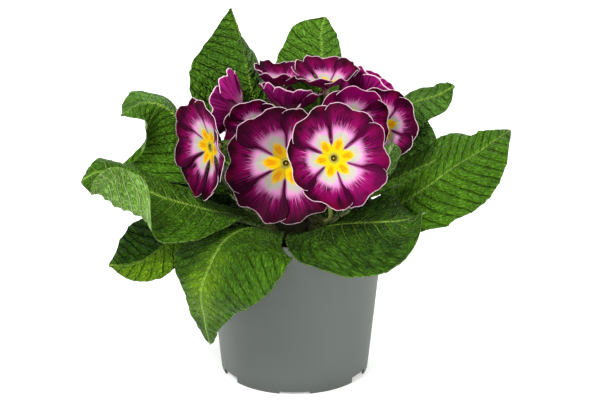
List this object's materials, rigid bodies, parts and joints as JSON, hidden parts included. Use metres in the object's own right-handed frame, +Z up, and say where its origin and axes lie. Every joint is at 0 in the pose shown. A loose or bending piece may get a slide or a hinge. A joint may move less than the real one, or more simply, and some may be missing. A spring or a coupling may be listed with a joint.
{
  "type": "potted primrose",
  "caption": "Garden primrose in leaf and flower in a plain tapered nursery pot that stands on its notched foot.",
  "frame": {"origin": "on the pot's axis in the plane the pot's foot stands on", "axes": "+Z up along the pot's axis, -Y towards the front of the plant"},
  "size_m": [0.2289, 0.1841, 0.2005],
  "materials": {
    "pot": "plain mid-grey moulded plastic, matte",
    "soil": "dark crumbly peat",
    "crown": "fleshy green-brown root stock",
    "leaf": "wrinkled green leaf with pale veins, low sheen",
    "petal": "velvety wine-purple petals with a pale edge and a yellow eye",
    "stem": "downy pale green stalk and calyx"
  },
  "bodies": {
    "root": {"pot": "pot", "soil": "soil", "crown": "crown", "leaf_01": "leaf", "leaf_02": "leaf", "leaf_03": "leaf", "leaf_04": "leaf", "leaf_05": "leaf", "leaf_06": "leaf", "leaf_07": "leaf", "leaf_08": "leaf", "leaf_09": "leaf", "leaf_10": "leaf", "leaf_11": "leaf", "leaf_12": "leaf", "leaf_13": "leaf", "leaf_14": "leaf", "leaf_15": "leaf", "leaf_16": "leaf", "leaf_17": "leaf", "leaf_18": "leaf", "leaf_19": "leaf", "leaf_20": "leaf", "bloom_01": "petal", "bloom_02": "petal", "bloom_03": "petal", "bloom_04": "petal", "bloom_05": "petal", "bloom_06": "petal", "bloom_07": "petal", "bloom_08": "petal", "bloom_09": "petal", "bloom_10": "petal", "bloom_11": "petal", "bloom_12": "petal", "bloom_13": "petal", "flower_stem_01": "stem", "flower_stem_02": "stem", "flower_stem_03": "stem", "flower_stem_04": "stem", "flower_stem_05": "stem", "flower_stem_06": "stem", "flower_stem_07": "stem", "flower_stem_08": "stem", "flower_stem_09": "stem", "flower_stem_10": "stem", "flower_stem_11": "stem", "flower_stem_12": "stem", "flower_stem_13": "stem"}
  },
  "joints": []
}
